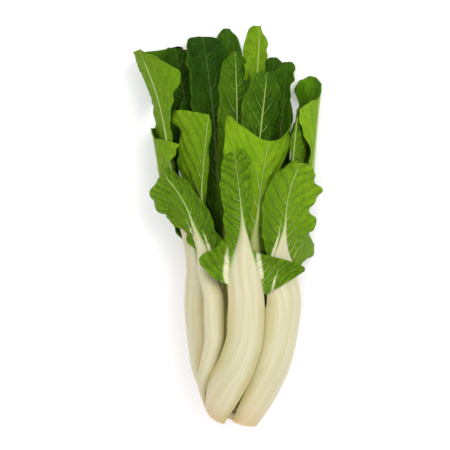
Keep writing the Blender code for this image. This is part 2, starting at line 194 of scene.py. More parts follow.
# The head's long axis, and the height over width of its section above the axis and below it, by Y.
AXIS_X = [(-170, 6.6), (-140, 11.2), (-105, 13.4), (-65, 14.6), (-20, 13), (20, 9), (100, 6), (175, 0)]
AXIS_Z = [(-170, 38), (-120, 40.6), (-65, 40.8), (-20, 38.2), (60, 33), (175, 27.5)]
RISE = [(-170, 0.92), (-65, 0.83), (0, 0.78), (60, 0.7), (175, 0.62)]
SINK = [(-170, 0.95), (-65, 0.86), (-20, 0.84), (60, 0.52), (175, 0.38)]
SIDE_BLEND = 0.5  # how far round the sides the upper section turns into the lower one
MIDDLE_OF_BOX = 1.77, 1.39  # the X and Y of the outline's middle, which is moved to the origin


@dataclass
class Whorl:
    """A ring of leaves: where its stalks start, and their inner radius and thickness by Y."""

    start: float
    radius: list
    thickness: list


OUTER = Whorl(
    -168,
    [(-168, 18.5), (-156, 23.6), (-138, 29.8), (-117, 35.7), (-91, 40), (-65, 42.3), (-20, 42)],
    [(-168, 5), (-138, 7), (-117, 8), (-65, 8), (-20, 5)],
)

# The butt is cut askew: the cut rises towards -X, by this share of the squared distance from CUT_FROM.
CUT_RISE = 0.0075
CUT_FROM = 16

# The cut stem inside the stalks, as (radius, Y).
CROWN_PROFILE = [
    (0, -168), (18.7, -168), (18.5, -165), (17, -161.5),
    (7, -159.8), (6.6, -156.5), (8.2, -152), (8.5, -148.6), (0, -148.4),
]
CROWN_SHOULDER = -160  # the cut's slant is in full at the butt and has gone by this Y
CROWN_FLARE = 0.7  # the share of the stalks' parting that the stem follows where the cut rises
CROWN_FADE = 8  # the length in mm over which the slant comes in
CROWN_SIDES = 96
CUT_RINGS = 14
CUT_EDGE = 50  # degrees between two faces, above which the edge between them is crisp
KNIFE_MARKS = 0.12  # the height of the fine rings that are left on the cut, in mm
KNIFE_TURN = 2.1  # radians of their wave per mm
CLEAR_OF_SHOULDER = 5  # mm below the shoulder, where the rings end

FLESH = linear(214, 196, 158), linear(236, 226, 196)
RING = linear(238, 234, 208)
RING_STARTS, RING_ENDS = (0.66, 0.8), (0.84, 0.93)  # shares of the rim's radius
BLOTCH = linear(186, 152, 108), 0.5  # a tone, and how much of it shows at the most
DRY_RIM = linear(170, 136, 92), 0.6
DRY_FROM = 0.93
FIBRE_SCALE = 700
FIBRE_RELIEF = 0.0006
BLOTCH_SCALE = 90


def smooth_through(stations, at):
    """The smooth curve through (place, value) stations, which never overshoots, read at the places at."""
    places, values = np.array(stations, float).T
    steps = np.diff(places)
    slopes = np.diff(values) / steps
    before, after = slopes[:-1], slopes[1:]
    same_way = before * after > 0
    mean = 2 * before * after / np.where(same_way, before + after, 1)
    tangents = np.concatenate([slopes[:1], np.where(same_way, mean, 0), slopes[-1:]])
    at = np.clip(at, places[0], places[-1])
    k = np.clip(np.searchsorted(places, at) - 1, 0, len(steps) - 1)
    h, r = steps[k], (at - places[k]) / steps[k]
    return (
        (1 + 2 * r) * (1 - r) ** 2 * values[k]
        + r * (1 - r) ** 2 * h * tangents[k]
        + r * r * (3 - 2 * r) * values[k + 1]
        + r * r * (r - 1) * h * tangents[k + 1]
    )


def flatten(bearing, y):
    """The height over width of the head's section at a bearing in degrees."""
    side = 0.5 + 0.5 * np.tanh(np.sin(np.radians(bearing)) / SIDE_BLEND)
    low = smooth_through(SINK, y)
    return low + (smooth_through(RISE, y) - low) * side


def in_head(bearing, radius, y):
    """The X, Y and Z of a place in the head."""
    angle = np.radians(bearing)
    x = smooth_through(AXIS_X, y) + radius * np.cos(angle)
    z = smooth_through(AXIS_Z, y) + radius * np.sin(angle) * flatten(bearing, y)
    return np.stack([x - MIDDLE_OF_BOX[0], y - MIDDLE_OF_BOX[1], z], axis=-1)


def cut_rise(across_x):
    """How far the cut face has risen at a distance towards +X from the head's axis."""
    return CUT_RISE * np.minimum(across_x - CUT_FROM, 0) ** 2


def keep_attribute(mesh, name, *numbers):
    """Stores up to three numbers for each vertex of a mesh, as one attribute."""
    rows = np.zeros((len(mesh.vertices), 3), np.float32)
    for column, values in enumerate(numbers):
        rows[:, column] = values
    stored = mesh.attributes.new(name, "FLOAT_VECTOR", "POINT")
    stored.data.foreach_set("vector", rows.ravel())


def vertex_places(mesh):
    places = np.empty(len(mesh.vertices) * 3)
    mesh.vertices.foreach_get("co", places)
    return places.reshape(-1, 3)


cut_finish = Finish("cut_flesh", Roughness=0.55, Subsurface_Weight=0.15, Subsurface_Scale=0.004)
to_rim = cut_finish.parts("place")[0]
fibres = cut_finish.noise(cut_finish.metres(), FIBRE_SCALE, 4.0)
blotches = cut_finish.noise(cut_finish.metres(), BLOTCH_SCALE, 3.0)
on_ring = cut_finish.step(to_rim, *RING_STARTS) * (1 - cut_finish.step(to_rim, *RING_ENDS))
flesh = cut_finish.mix(fibres, *FLESH)
flesh = cut_finish.mix(on_ring, flesh, RING)
flesh = cut_finish.tint(flesh, cut_finish.step(blotches, 0.5, 0.75), *BLOTCH)
flesh = cut_finish.tint(flesh, cut_finish.step(to_rim, DRY_FROM, 1.0), *DRY_RIM)
cut_finish.set("Base Color", flesh)
cut_finish.bump(fibres, FIBRE_RELIEF)

rim = CROWN_PROFILE[1][0]
cut_rings = [(rim * share, CROWN_PROFILE[0][1]) for share in np.linspace(0, 1, CUT_RINGS)]
full_turn = {"cent": (0, 0, 0), "axis": (0, 1, 0), "angle": 2 * math.pi, "use_merge": True}
bm = bmesh.new()
profile = [bm.verts.new((radius, y, 0)) for radius, y in cut_rings + CROWN_PROFILE[2:]]
profile += [bm.edges.new(pair) for pair in zip(profile, profile[1:])]
bmesh.ops.spin(bm, geom=profile, steps=CROWN_SIDES, **full_turn)
bmesh.ops.remove_doubles(bm, verts=bm.verts[:], dist=0.001)
bmesh.ops.recalc_face_normals(bm, faces=bm.faces[:])
crown = add_piece("cut_stem", bm, cut_finish)
turned = vertex_places(crown.data)
radius = np.hypot(turned[:, 0], turned[:, 2])
turn = np.degrees(np.arctan2(turned[:, 2], turned[:, 0]))
y = turned[:, 1]
keep_attribute(crown.data, "place", radius / rim)
rise = cut_rise(radius * np.cos(np.radians(turn))) * np.clip((CROWN_SHOULDER - y) / CROWN_FADE, 0, 1)
wider = smooth_through(OUTER.radius, y + rise) - smooth_through(OUTER.radius, y)
grown = radius * (1 + CROWN_FLARE * wider / rim)
marks = KNIFE_MARKS * np.sin(radius * KNIFE_TURN) * (y < CROWN_SHOULDER - CLEAR_OF_SHOULDER)
crown.data.vertices.foreach_set("co", (in_head(turn, grown, y + rise + marks) * MM).ravel())
crown.data.shade_smooth()
crown.data.set_sharp_from_angle(angle=math.radians(CUT_EDGE))
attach(crown, "root")
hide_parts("crown")

# The stalks
# Each leaf has a thick, juicy, cream-white stalk, hollowed towards the heart like a spoon and finely
# ribbed along its length. It narrows at the neck and runs up the back of the blade as its midrib.
STALK_LINES = 88
STALK_ACROSS = 37
ROWS_AT_CUT = [0, 0.003, 0.008, 0.016, 0.028]  # along the leaf, before the even rows start
EVEN_FROM = 0.045
STALK_END = 1.94
ROUNDNESS = 7  # the higher it is, the squarer the stalk's section
RIBS_ACROSS = 2.3  # mm from one fine rib to the next
RIB_RELIEF = 0.035
INNER_RIB_RELIEF = 0.05  # on the side towards the heart
RIB_DRIFT = 1.2  # how far a rib wanders across, over swells of RIB_SWELL, in mm
RIB_SWELL = 90
UNEVENNESS = 0.22  # of the back, over swells of UNEVEN_SWELL, in mm
UNEVEN_SWELL = 60
SMOOTH_UNDER = 8  # the half width in mm below which the relief fades
THINNEST_STALK = 0.12
SHEET_THICKNESS = 0.5  # of the green sheet that the midrib runs up
RIB_SINK = 0.08  # how deep the midrib sits in that sheet
ONTO_BLADE = 0.05, 0.15  # how far before the blade's foot the stalk moves onto it, and over what length

# Where along the leaf a midrib grows slimmer, over what length, and by what share.
SLIM_FROM = {
    "front_right": 0.8, "front_centre": 1.15, "front_left": 1.1, "second_left": 0.95,
    "second_low_right": 0.9, "second_front": 1.0, "left": 1.1, "low_left": 0.85,
}
SLIM_FROM_USUALLY = 1.3
SLIM_OVER = 0.65
SLIM_BY = 0.78

# A smooth random value is the sum of a few waves of about its size.
WANDER_WAVES = 6
WANDER_SIZES = 0.7, 1.5  # shares of the size
WANDER_PEAK = 2.6

# The creams, and each tone over them with how much of it shows at the most.
STALK_CREAMS = linear(187, 181, 140), linear(199, 195, 164)
THREAD = linear(188, 180, 126), 0.16
STALK_BASE = linear(204, 186, 148), 0.6
TAN_NEAR_CUT = linear(188, 160, 116), 0.5
# A painted shade, olive, along the stalks' edges where they meet.
OLIVE_SEAM_SHADE = linear(172, 158, 78), 0.62
YELLOW_HEART = linear(196, 186, 84), 0.85
GREEN_NECK = linear(132, 168, 66), 0.8
CUT_FACE = linear(214, 186, 140), 0.75
BASE_LENGTH = 0.42  # along the leaf from the cut
TAN_LENGTH = 0.13
BAND_SCALES = 2.6, 0.12  # across the stalk and along it, per cm
THREAD_SCALES = 22, 0.35
CLOUD_SCALES = 1, 0.5

# The stalks turn round the axis from the belly to the butt: the share of the turn by Y.
TURN = [(-168, 1), (-138, 0.44), (-117, 0.14), (-91, 0)]

MIDDLE = Whorl(
    -156,
    [(-156, 8.5), (-138, 18), (-117, 25), (-91, 29), (-65, 30.6), (-20, 30.6)],
    [(-156, 4), (-117, 5), (-65, 5.5), (-20, 3.5)],
)
INNER = Whorl(
    -146,
    [(-146, 3.5), (-117, 14), (-65, 19.7), (-20, 19.7)],
    [(-146, 3), (-117, 4), (-65, 4.5), (-20, 3)],
)

# How yellow the stalks of each whorl are.
YELLOWNESS = [(OUTER, 0.0), (MIDDLE, 0.55), (INNER, 0.9)]

# A side of a blade: its half width as a share of its greatest, by the share of the blade's length.
OVAL = [
    (0, 0.05), (0.12, 0.4), (0.3, 0.76), (0.5, 0.97), (0.62, 1), (0.82, 0.86), (0.94, 0.58),
    (1, 0.12),
]
FAN = [(0, 0.05), (0.15, 0.3), (0.4, 0.68), (0.62, 0.93), (0.8, 1), (0.92, 0.88), (0.98, 0.6), (1, 0.2)]
ROUND = [
    (0, 0.05), (0.12, 0.14), (0.22, 0.28), (0.34, 0.42), (0.46, 0.58), (0.6, 0.88), (0.75, 1), (0.88, 0.88),
    (0.96, 0.55), (1, 0.15),
]
WING = [(0, 0.05), (0.15, 0.35), (0.4, 0.72), (0.7, 0.95), (0.9, 1), (0.98, 0.88), (1, 0.6)]
FLAP = [
    (0, 0.05), (0.3, 0.36), (0.44, 0.62), (0.6, 0.76), (0.75, 0.78), (0.9, 0.9), (0.97, 0.95),
    (1, 0.6),
]
NEAR = [
    (0, 0.05), (0.5, 0.15), (0.7, 0.28), (0.78, 0.6), (0.85, 0.94), (0.89, 1), (0.93, 0.7),
    (1, 0.05),
]
NEAR_LOW = [
    (0, 0.05), (0.3, 0.2), (0.5, 0.36), (0.66, 0.5), (0.74, 0.8), (0.8, 0.98), (0.84, 1), (0.89, 0.66),
    (0.93, 0.2), (1, 0.04),
]
NEAR_FLAT = [
    (0, 0.05), (0.3, 0.2), (0.6, 0.5), (0.8, 0.92), (0.88, 1), (0.91, 0.6), (0.93, 0.1), (1, 0.04),
]
FAR = [
    (0, 0.05), (0.3, 0.2), (0.5, 0.3), (0.68, 0.35), (0.78, 0.5), (0.88, 0.8), (0.94, 0.92), (0.985, 1),
    (1, 0.95),
]
LOBE = [
    (0, 0.4), (0.04, 0.72), (0.09, 0.95), (0.15, 1), (0.2, 0.84), (0.25, 0.46), (0.3, 0.16), (0.42, 0.06),
    (0.55, 0.14), (0.7, 0.22), (0.9, 0.24), (0.97, 0.18), (1, 0.08),
]
LOBED = [
    (0, 0.05), (0.05, 0.4), (0.1, 0.85), (0.16, 1), (0.22, 0.92), (0.3, 0.66), (0.4, 0.5), (0.62, 0.5),
    (0.9, 0.42), (0.97, 0.3), (1, 0.1),
]
EARED = [
    (0, 0.05), (0.05, 0.2), (0.11, 0.45), (0.17, 0.75), (0.24, 0.97), (0.29, 1), (0.34, 0.84), (0.4, 0.62),
    (0.47, 0.53), (0.6, 0.52), (0.7, 0.49), (0.79, 0.47), (0.88, 0.42), (0.96, 0.32), (1, 0.12),
]
BROAD = [(0, 0.3), (0.1, 0.7), (0.25, 1), (0.5, 0.9), (0.75, 0.72), (0.93, 0.5), (1, 0.1)]


@dataclass
class Leaf:
    """One leaf. A pair is for its side towards greater bearings, then for its side towards lesser ones."""

    name: str
    whorl: Whorl
    lift: float  # how far it stands outside its whorl's radius
    spread: tuple  # half the angle its stalk takes round the head, at the butt and at the belly
    bearing: tuple  # at the butt, at the belly, at the neck, halfway up the blade and at the tip
    ends: tuple  # the Y of its neck and of its tip
    radius: tuple  # halfway up the blade and at the tip
    half: tuple  # the blade's greatest half width on each side
    outline: tuple  # the blade's outline on each side
    lean: tuple  # how far each margin leans outwards
    late: float = 0.0  # where along the blade the lean begins
    hang: tuple = (3, 3)  # how far the lowest part of each side hangs back
    reach: tuple = (0, 0)  # how far the top of each side reaches past the tip
    wave: float = 0.5  # the share of the lean that comes and goes along the margin
    waves: float = 4.0
    phase: float = 0.0
    curl: float = 4.0  # how far the tip bends outwards


LEAVES = [
    Leaf(
        "front_centre", OUTER, lift=3.3, spread=(38, 19.2), bearing=(142, 86, 88, 86, 90),
        ends=(-42, 60), radius=(53, 62), half=(28, 44), outline=(LOBED, LOBE), lean=(24, 24),
        late=-1.6, hang=(-6, -3), wave=0.15, waves=3, phase=0.3, curl=4,
    ),
    Leaf(
        "front_right", OUTER, lift=0, spread=(47, 37), bearing=(52, 29, 38, 42, 37), ends=(-38, 52),
        radius=(54, 63), half=(21, 47), outline=(OVAL, EARED), lean=(-2, 46), late=-1, hang=(4, 5),
        wave=0.15, waves=3, phase=1.1, curl=6,
    ),
    Leaf(
        "front_left", OUTER, lift=0, spread=(4.6, 13), bearing=(201, 124, 135, 134, 147),
        ends=(-34, 44), radius=(55, 66), half=(34, 20), outline=(ROUND, BROAD), lean=(6, -2),
        late=-1.5, hang=(2, 6), wave=0.3, waves=3, phase=3.6, curl=6,
    ),
    Leaf(
        "left", OUTER, lift=-3.3, spread=(19.5, 30), bearing=(229, 172, 172, 154, 157),
        ends=(-42, 150), radius=(60, 70), half=(73, 24), outline=(FAR, NEAR), lean=(8, -2),
        late=0.45, hang=(3, 3), reach=(14, 0), wave=0.3, waves=4, phase=2.0, curl=12,
    ),
    Leaf(
        "low_left", OUTER, lift=0, spread=(14, 18.5), bearing=(268, 222, 212, 170, 170),
        ends=(-35, 83), radius=(61.8, 68.2), half=(44, 26), outline=(WING, NEAR_FLAT), lean=(2, 0),
        late=0, hang=(4, 4), reach=(12, 0), wave=0.5, waves=4, phase=2.9, curl=2,
    ),
    Leaf(
        "back_left", OUTER, lift=-3.3, spread=(13.6, 17), bearing=(297, 260, 248, 233, 229),
        ends=(-25, 158), radius=(60, 69), half=(34, 20), outline=(FAN, FAN), lean=(-1, -1), late=0,
        hang=(2, 2), wave=0.5, waves=4, phase=0.0, curl=2,
    ),
    Leaf(
        "back_right", OUTER, lift=0, spread=(13, 16.2), bearing=(323, 294, 298, 303, 306),
        ends=(-25, 150), radius=(60, 68), half=(20, 32), outline=(OVAL, OVAL), lean=(1, 1), late=0,
        hang=(2, 2), wave=0.5, waves=4, phase=1.6, curl=2,
    ),
    Leaf(
        "right", OUTER, lift=-3.3, spread=(12.5, 20.5), bearing=(350, 332, 342, 362, 370),
        ends=(-30, 122), radius=(66.5, 75), half=(23, 37), outline=(NEAR_LOW, WING), lean=(-3, 3),
        late=0.45, hang=(4, 4), reach=(4, 15), wave=0.4, waves=4, phase=2.2, curl=4,
    ),
    Leaf(
        "second_front", MIDDLE, lift=-3, spread=(27, 27), bearing=(118, 78, 71, 65, 60),
        ends=(-35, 70), radius=(45, 54), half=(31, 25), outline=(WING, WING), lean=(4, 1), late=0.3,
        hang=(2, 2), reach=(27, 24), wave=0.5, waves=4, phase=0.8, curl=5,
    ),
    Leaf(
        "second_left", MIDDLE, lift=0, spread=(27, 27), bearing=(178, 138, 143, 126, 110),
        ends=(-35, 92), radius=(47, 54), half=(36, 4), outline=(FLAP, OVAL), lean=(2, -1), late=0,
        hang=(2, 2), wave=0.5, waves=4, phase=1.9, curl=4,
    ),
    Leaf(
        "second_low_left", MIDDLE, lift=-3, spread=(27, 27), bearing=(238, 198, 204, 225, 236),
        ends=(-35, 112), radius=(39, 44), half=(26, 26), outline=(FAN, FAN), lean=(-2, 1), late=0,
        hang=(2, 2), wave=0.5, waves=4, phase=3.6, curl=4,
    ),
    Leaf(
        "second_back", MIDDLE, lift=-0.5, spread=(27, 27), bearing=(298, 258, 262, 268, 272),
        ends=(-35, 176), radius=(49, 57), half=(17, 20), outline=(OVAL, OVAL), lean=(-1, 1), late=0,
        hang=(2, 2), wave=0.5, waves=4, phase=0.9, curl=3,
    ),
    Leaf(
        "second_back_right", MIDDLE, lift=-3, spread=(27, 27), bearing=(358, 318, 322, 330, 334),
        ends=(-35, 144), radius=(44, 56), half=(12, 12), outline=(FAN, FAN), lean=(1, 1), late=0,
        hang=(2, 2), wave=0.5, waves=4, phase=1.4, curl=2,
    ),
    Leaf(
        "second_low_right", MIDDLE, lift=0, spread=(27, 27), bearing=(418, 378, 384, 393, 396),
        ends=(-35, 98), radius=(55, 66), half=(3, 38), outline=(OVAL, OVAL), lean=(0, 7), late=0.35,
        hang=(2, 2), wave=0.12, waves=4, phase=2.7, curl=2,
    ),
    Leaf(
        "heart_front", INNER, lift=0, spread=(38, 38), bearing=(100, 60, 58, 52, 50),
        ends=(-30, 130), radius=(31, 46), half=(17, 26), outline=(FAN, OVAL), lean=(0, 0), late=0,
        hang=(0, 0), wave=0.5, waves=4, phase=2.5, curl=3,
    ),
    Leaf(
        "heart_left", INNER, lift=-3, spread=(38, 38), bearing=(190, 150, 130, 84, 80),
        ends=(-30, 148), radius=(25, 32), half=(17, 18), outline=(OVAL, OVAL), lean=(0, 0), late=0,
        hang=(0, 0), wave=0.5, waves=4, phase=1.5, curl=3,
    ),
    Leaf(
        "heart_back", INNER, lift=0, spread=(38, 38), bearing=(280, 240, 240, 240, 240),
        ends=(-30, 167), radius=(31, 38), half=(24, 24), outline=(FAN, FAN), lean=(0, 0), late=0,
        hang=(0, 0), wave=0.5, waves=4, phase=2.5, curl=3,
    ),
    Leaf(
        "heart_right", INNER, lift=-3, spread=(38, 38), bearing=(370, 330, 335, 372, 412),
        ends=(-30, 170), radius=(19, 28), half=(10, 10), outline=(FAN, OVAL), lean=(0, 0), late=0,
        hang=(0, 0), wave=0.5, waves=4, phase=0.5, curl=18,
    ),
]

# The blade is a thin sheet on the inner side of the stalk. The stalk runs up its back as the midrib.
BLADE_THICKNESS = 0.8  # with its veins
BLADE_FOOT, BLADE_TIP = 0.86, 1.994  # along the leaf: 0 is the butt, 1 the neck and 2 the tip
STALK_GAP = 0.6  # between the blade's back and the stalk
STALK_EDGE = 0.9  # how thick the stalk is at its edges
FULL_FROM = 6.0  # the half width below which a stalk's butt is thinner too
THINNEST = 0.3  # the share of its thickness that the narrowest butt keeps
SLIMMING = [(0, 0.93), (0.24, 1.005), (0.6, 1), (1, 0.86)]  # the stalk's width near its ends
TAPER = 1.0, 1.62  # where the stalk starts to narrow, and where it has become the midrib
THIN_FROM = 0.95  # where its thickness starts to go down to the midrib's
RIB_HALF = 1.3
RIB_THICKNESS = 0.8
BELLY_Y = -65  # where the stalks stand furthest out
CUT_AT = 4  # mm outside the stalks' inner faces, where the cut is measured
CUT_FADE = 0.3  # how far along the leaf the stalk's rows are squeezed by the cut
LIFT_AT_BUTT = 0.6, 0.15  # the share of a leaf's lift at its butt, if it stands out or in
LIFTED_AFTER = 35  # mm above the butt, where the lift is in full
NECK_CLEAR = 10  # mm below the neck, without a station
LOBE_DEPTH = 0.03  # of the margin's shallow lobes, as a share of the half width
LOBES_TO_WAVES = 1.3
MARGIN_WAVE = 2  # how far the margin waves in and out at the tip, in mm
CURL_FROM = 0.6  # where the tip starts to bend outwards, from the neck to the tip
CURL_LENGTH = 0.4


def leaf_stations(leaf):
    """A leaf's Y, bearing and inner radius along it: 0 is the butt, 1 the neck and 2 the tip."""
    start = leaf.whorl.start
    neck_y, tip_y = leaf.ends
    butt, belly, neck, middle, tip = leaf.bearing
    ys = [y for y, _ in leaf.whorl.radius if y < neck_y - NECK_CLEAR] + [neck_y]
    along = [(y - start) / (neck_y - start) for y in ys]
    ys = np.array(ys, float)
    bearing = smooth_through([(start, belly), (BELLY_Y, belly), (neck_y, neck)], ys)
    bearing = bearing + (butt - belly) * smooth_through(TURN, ys)
    at_butt = LIFT_AT_BUTT[0] if leaf.lift > 0 else LIFT_AT_BUTT[1]
    lift = leaf.lift * smooth_through([(start, at_butt), (start + LIFTED_AFTER, 1)], ys)
    radius = smooth_through(leaf.whorl.radius, ys) + lift
    return (
        [*zip(along, ys), (1.5, 0.5 * (neck_y + tip_y)), (2, tip_y)],
        [*zip(along, bearing), (1.5, middle), (2, tip)],
        [*zip(along, radius), (1.5, leaf.radius[0]), (2, leaf.radius[1])],
    )


def arc_per_radian(leaf, s):
    """The distance round the head for a radian, at the leaf's middle line and s along it."""
    y_at, bearing_at, radius_at = leaf_stations(leaf)
    bearing = smooth_through(bearing_at, s)
    angle = np.radians(bearing)
    section = flatten(bearing, smooth_through(y_at, s))
    return smooth_through(radius_at, s) * np.hypot(np.sin(angle), np.cos(angle) * section)


def blade_half(leaf, s, side):
    """The blade's half width along the leaf, on the anticlockwise side (+1) or the clockwise side (-1)."""
    t = np.clip((s - BLADE_FOOT) / (2 - BLADE_FOOT), 0, 1)
    widths = [half * smooth_through(outline, t) for half, outline in zip(leaf.half, leaf.outline)]
    turns = LOBES_TO_WAVES * 2 * math.pi * leaf.waves * t
    lobes = 1 + LOBE_DEPTH * np.sin(turns + 1.7 * leaf.phase + side)
    return np.where(side > 0, *widths) * lobes


def stalk_half(leaf, s):
    """The stalk's half width along the leaf, and the midrib's past the neck."""
    at_butt, at_belly = leaf.spread
    y = leaf.whorl.start + (leaf.ends[0] - leaf.whorl.start) * np.clip(s, 0, 1)
    spread = at_belly + (at_butt - at_belly) * smooth_through(TURN, y)
    full = np.radians(spread) * arc_per_radian(leaf, np.minimum(s, 1))
    full = full * smooth_through(SLIMMING, s)
    t = np.clip((s - TAPER[0]) / (TAPER[1] - TAPER[0]), 0, 1)
    return RIB_HALF + (full - RIB_HALF) * (1 - t) ** 1.7


def stalk_thickness(leaf, s, u):
    """How thick the stalk is, u of its half width away from its middle line: a crescent."""
    start = leaf.whorl.start
    y = start + (leaf.ends[0] - start) * np.clip(s, 0, 1)
    t = np.clip((s - THIN_FROM) / (TAPER[1] - THIN_FROM), 0, 1)
    fullness = np.clip(stalk_half(leaf, np.minimum(s, 0.5)) / FULL_FROM, THINNEST, 1)
    full = smooth_through(leaf.whorl.thickness, y) * fullness
    middle = RIB_THICKNESS + (full - RIB_THICKNESS) * (1 - t) ** 1.2
    edge = STALK_EDGE + (RIB_THICKNESS / 2 - STALK_EDGE) * t
    return edge + middle * np.clip(1 - u * u, 0, 1)


def past_the_cut(leaf, s, w):
    """s moved along the leaf, so that the stalk starts at the cut."""
    if leaf.whorl is not OUTER:
        return s
    radius = OUTER.radius[0][1] + CUT_AT
    bearing = np.radians(leaf.bearing[0]) + w / radius
    rise = cut_rise(radius * np.cos(bearing)) / (leaf.ends[0] - OUTER.start)
    return s + rise * np.clip(1 - s / CUT_FADE, 0, 1)


def leaf_place(leaf, s, w):
    """The X, Y and Z of a leaf's inner face, s along it and w across it."""
    s = past_the_cut(leaf, s, w)
    y_at, bearing_at, radius_at = leaf_stations(leaf)
    y, bearing, radius = (smooth_through(v, s) for v in (y_at, bearing_at, radius_at))
    step = 0.01
    rise = smooth_through(y_at, s + step) - smooth_through(y_at, s - step)
    arc = arc_per_radian(leaf, s)
    turn = arc * np.radians(smooth_through(bearing_at, s + step) - smooth_through(bearing_at, s - step))
    length = np.hypot(rise, turn)
    bearing = bearing + np.degrees(w * rise / length / arc)
    y = y - w * turn / length
    side = np.sign(w)
    t = np.clip(s - 1, 0, 1)
    across = np.abs(w) / np.where(side > 0, *leaf.half)
    at_margin = np.clip(np.abs(w) / np.maximum(blade_half(leaf, s, side), 1), 0, 1.2)
    ripple = np.sin(2 * math.pi * leaf.waves * t + leaf.phase + side)
    r = np.clip((s - 1 - leaf.late) / (1 - leaf.late), 0, 1)
    lean = np.where(side > 0, *leaf.lean) * r * r * (3 - 2 * r) * across**1.7
    radius = radius + lean * (1 + leaf.wave * ripple * at_margin)
    radius = radius + MARGIN_WAVE * t**1.5 * at_margin**3 * ripple
    radius = radius + leaf.curl * np.clip((t - CURL_FROM) / CURL_LENGTH, 0, 1) ** 2
    reach = np.where(side > 0, *leaf.reach)
    hang = np.where(side > 0, *leaf.hang)
    y = y + across**2 * (reach * t * t - hang * (1 - t))
    return in_head(bearing, radius, y)


def outwards(leaf, s, w):
    """The leaf's outward unit normal."""
    step_s, step_w = 0.004, 0.25
    along = leaf_place(leaf, s + step_s, w) - leaf_place(leaf, s - step_s, w)
    across = leaf_place(leaf, s, w + step_w) - leaf_place(leaf, s, w - step_w)
    normal = np.cross(along, across)
    return normal / np.linalg.norm(normal, axis=-1, keepdims=True)


def wander(x, y, size, seed):
    """A smooth random value from about -1 to 1, with swells of about that size in mm."""
    draw = np.random.default_rng(seed)
    total = 0
    for _ in range(WANDER_WAVES):
        heading, phase = draw.uniform(0, 2 * math.pi, 2)
        scale = size * draw.uniform(*WANDER_SIZES)
        away = x * math.cos(heading) + y * math.sin(heading)
        total = total + np.sin(2 * math.pi * away / scale + phase)
    return total / WANDER_PEAK


def add_sheet(name, inner, outer, finish, leaf_uv, attributes):
    """A closed sheet between two grids of points in mm, with its own UV map and attributes. Its
    attribute heart_side is 1 on the inner side, towards the heart, and 0 on the outer side."""
    rows, columns = inner.shape[:2]
    bm = bmesh.new()
    bmesh.ops.create_grid(bm, x_segments=columns - 1, y_segments=rows - 1, size=0.5)
    raised = bmesh.ops.extrude_face_region(bm, geom=bm.faces[:], use_keep_orig=True)["geom"]
    bmesh.ops.translate(bm, verts=[g for g in raised if isinstance(g, bmesh.types.BMVert)], vec=(0, 0, 1))
    bmesh.ops.recalc_face_normals(bm, faces=bm.faces[:])
    bmesh.ops.reverse_faces(bm, faces=bm.faces[:])
    piece = add_piece(name, bm, finish)
    mesh = piece.data
    flat = vertex_places(mesh)
    column = np.rint((flat[:, 0] + 0.5) * (columns - 1)).astype(int)
    row = np.rint((flat[:, 1] + 0.5) * (rows - 1)).astype(int)
    is_outer = flat[:, 2:] > 0.5
    places = np.where(is_outer, outer[row, column], inner[row, column]) * MM
    places = np.clip(places, np.array(cad_box[0]), np.array(cad_box[1]))
    mesh.vertices.foreach_set("co", places.ravel())
    corners = np.empty(len(mesh.loops), int)
    mesh.loops.foreach_get("vertex_index", corners)
    layer = mesh.uv_layers.new(name="leaf")
    layer.data.foreach_set("uv", leaf_uv[row, column][corners].astype(np.float32).ravel())
    for key, grids in attributes.items():
        keep_attribute(mesh, key, *[grid[row, column] for grid in grids])
    keep_attribute(mesh, "heart_side", 1 - is_outer[:, 0])
    mesh.shade_smooth()
    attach(piece, "root")
    return piece


def ease(share):
    """A share of 0 to 1 with a soft start and end."""
    return share * share * (3 - 2 * share)


def slimness(leaf, s):
    """The share of its width that the midrib keeps, up the back of the blade."""
    start = SLIM_FROM.get(leaf.name, SLIM_FROM_USUALLY)
    return 1 - SLIM_BY * np.clip((s - start) / SLIM_OVER, 0, 1)


def stalk_width(leaf, s):
    return stalk_half(leaf, s) * slimness(leaf, s)


def add_stalk(leaf, finish, yellowness):
    along = np.concatenate([ROWS_AT_CUT, np.linspace(EVEN_FROM, STALK_END, STALK_LINES)])
    s, c = np.meshgrid(along, np.linspace(-1, 1, STALK_ACROSS), indexing="ij")
    u = np.sin(c * math.pi / 2)
    half = stalk_width(leaf, s)
    w = u * half
    seed = LEAVES.index(leaf)
    length = leaf.ends[0] - leaf.whorl.start
    on_blade = ease(np.clip((s - BLADE_FOOT + ONTO_BLADE[0]) / ONTO_BLADE[1], 0, 1))
    low = (BLADE_THICKNESS + STALK_GAP) * (1 - on_blade) + (SHEET_THICKNESS - RIB_SINK) * on_blade
    thick = stalk_thickness(leaf, s, u) * slimness(leaf, s)
    high = low + (BLADE_THICKNESS + STALK_GAP - low + thick) * (1 - np.abs(u) ** ROUNDNESS) ** 0.5
    drift = RIB_DRIFT * wander(w * 0.2, s * length, RIB_SWELL, seed + 40)
    ribs = np.sin(2 * math.pi * (w + drift) / RIBS_ACROSS)
    uneven = UNEVENNESS * wander(w * 1.6, s * length, UNEVEN_SWELL, seed + 70)
    relief = np.clip(half / SMOOTH_UNDER, 0, 1) * (1 - u**6)
    high = high + relief * (RIB_RELIEF * ribs + uneven)
    face, normal = leaf_place(leaf, s, w), outwards(leaf, s, w)
    inner = face + normal * (low + INNER_RIB_RELIEF * relief * ribs)[..., None]
    outer = face + normal * np.maximum(high, low + THINNEST_STALK)[..., None]
    attributes = {"place": [s, np.abs(u), np.full_like(s, yellowness)]}
    centimetres = np.stack([w, s * length], axis=-1) / 10
    piece = add_sheet(leaf.name + "_stalk", inner, outer, finish, centimetres, attributes)
    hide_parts("stalk_" + leaf.name)


